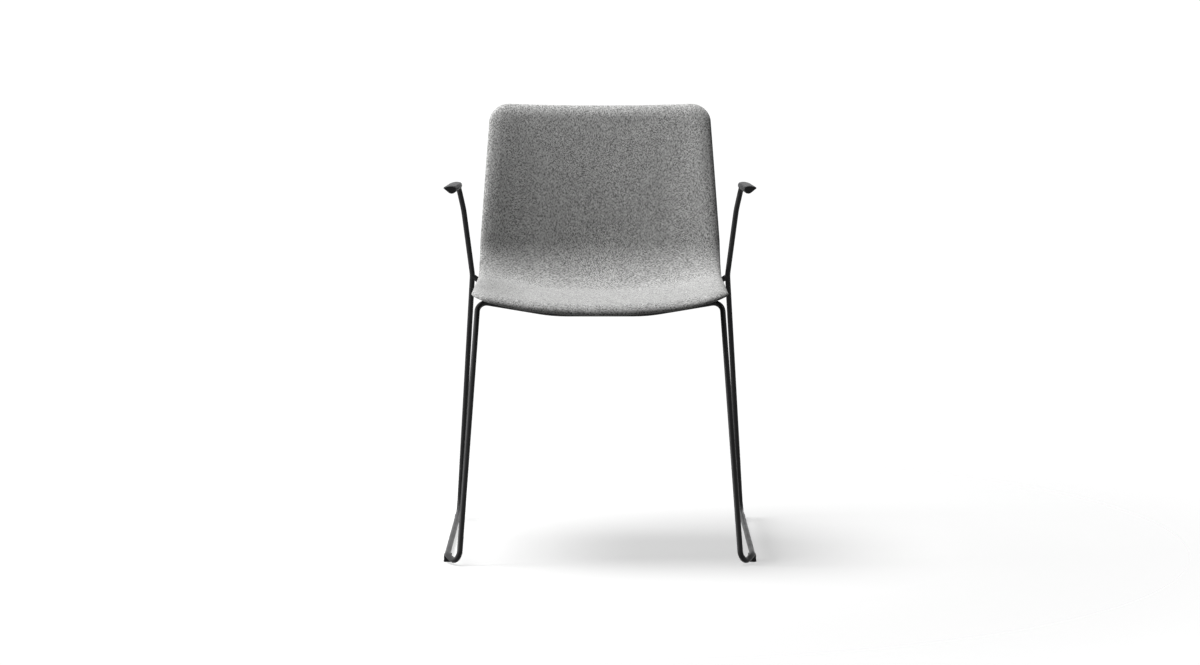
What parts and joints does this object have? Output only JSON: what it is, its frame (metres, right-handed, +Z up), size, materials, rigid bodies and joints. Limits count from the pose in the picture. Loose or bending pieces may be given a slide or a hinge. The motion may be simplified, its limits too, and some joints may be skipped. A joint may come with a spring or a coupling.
{
  "type": "sled base visitor chair",
  "caption": "Visitor chair: dished upholstered one-piece shell on a bent steel rod sled base, whose rods rise into arms with moulded pads.",
  "frame": {"origin": "middle of the space the chair takes on the floor, at floor level", "axes": "+Z up, -Y the way a person sitting in it looks, +X to the right as seen from the front camera"},
  "size_m": [0.558, 0.5577, 0.7915],
  "materials": {
    "powder_coated_steel": "satin black powder coat",
    "screw_steel": "black zinc plated",
    "insert_steel": "bright zinc plated",
    "spacer_plastic": "moulded black",
    "core_plastic": "moulded, as it comes from the mould",
    "seat_foam": "open cell foam",
    "grey_fabric": "woven grey melange",
    "pad_plastic": "fine grained moulded black",
    "glide_plastic": "moulded black"
  },
  "bodies": {
    "root": {"right_side_rod": "powder_coated_steel", "left_side_rod": "powder_coated_steel", "rear_cross_rod": "powder_coated_steel", "front_left_tab": "powder_coated_steel", "front_right_tab": "powder_coated_steel", "rear_left_tab": "powder_coated_steel", "rear_right_tab": "powder_coated_steel", "front_spacers": "spacer_plastic", "rear_spacers": "spacer_plastic", "seat_screws": "screw_steel", "screw_washers": "screw_steel", "threaded_inserts": "insert_steel", "shell_core": "core_plastic", "foam_pad": "seat_foam", "front_cover": "grey_fabric", "rear_cover": "grey_fabric", "right_arm_pad": "pad_plastic", "left_arm_pad": "pad_plastic", "front_right_glide": "glide_plastic", "front_left_glide": "glide_plastic", "rear_right_glide": "glide_plastic", "rear_left_glide": "glide_plastic"}
  },
  "joints": []
}
